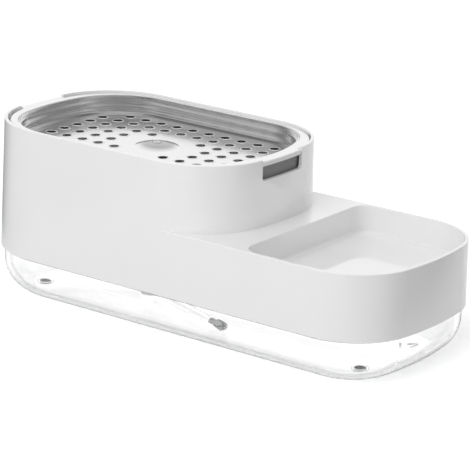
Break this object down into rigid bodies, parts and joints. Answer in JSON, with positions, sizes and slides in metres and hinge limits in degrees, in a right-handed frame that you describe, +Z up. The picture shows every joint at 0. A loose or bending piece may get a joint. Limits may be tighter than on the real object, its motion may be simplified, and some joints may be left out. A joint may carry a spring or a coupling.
{
  "type": "soap pump caddy",
  "caption": "Soap pump caddy: clear soap tank under a white shell with a sponge tray, and a press plate with a perforated steel dish over the pump.",
  "frame": {"origin": "middle of the footprint, on the table under the feet", "axes": "+X along the length towards the sponge tray, +Y across, +Z up"},
  "size_m": [0.24, 0.1042, 0.0884],
  "materials": {
    "clear_plastic": "clear, polished moulding",
    "white_plastic": "polished moulding",
    "grey_plastic": "fine grained moulding",
    "pressed_steel": "pressed sheet, satin to bright",
    "rubber": "matt",
    "natural_plastic": "natural translucent moulding",
    "dark_plastic": "matt moulding",
    "spring_steel": "bright drawn or turned"
  },
  "bodies": {
    "tank_base": {"tank": "clear_plastic", "tank_feet": "rubber", "tank_seal": "rubber"},
    "upper": {"shell": "white_plastic", "inner_cover": "white_plastic", "cover_screws": "spring_steel", "guide_bushes": "natural_plastic", "bump_stops": "rubber", "stem_wiper": "rubber", "pump_cylinder": "natural_plastic", "pump_seal": "rubber", "stem_guide": "natural_plastic", "pump_collar": "white_plastic", "dip_tube": "natural_plastic", "strainer": "dark_plastic"},
    "plunger": {"stem": "natural_plastic", "piston": "natural_plastic", "pump_head": "white_plastic", "return_spring": "spring_steel"},
    "plate": {"press_frame": "white_plastic", "drip_pan": "grey_plastic"},
    "dish": {"steel_dish": "pressed_steel"},
    "inlet_valve": {"inlet_ball": "spring_steel"},
    "outlet_valve": {"outlet_ball": "spring_steel"}
  },
  "joints": [
    {"name": "upper_lift", "type": "slide", "parent": "tank_base", "child": "upper", "axis": [0, 0, 1], "range_m": [0, 0.045]},
    {"name": "press_stroke", "type": "slide", "parent": "upper", "child": "plunger", "axis": [0, 0, -1], "range_m": [0, 0.006], "stiffness_N_per_m": 600, "springref_m": -0.01, "deforming": ["return_spring"]},
    {"name": "plate_lift", "type": "slide", "parent": "plunger", "child": "plate", "axis": [0, 0, 1], "range_m": [0, 0.04]},
    {"name": "dish_lift", "type": "slide", "parent": "plate", "child": "dish", "axis": [0, 0, 1], "range_m": [0, 0.03]},
    {"name": "inlet_lift", "type": "slide", "parent": "upper", "child": "inlet_valve", "axis": [0, 0, 1], "range_m": [0, 0.0015]},
    {"name": "outlet_lift", "type": "slide", "parent": "plunger", "child": "outlet_valve", "axis": [0, 0, 1], "range_m": [0, 0.0008]}
  ]
}
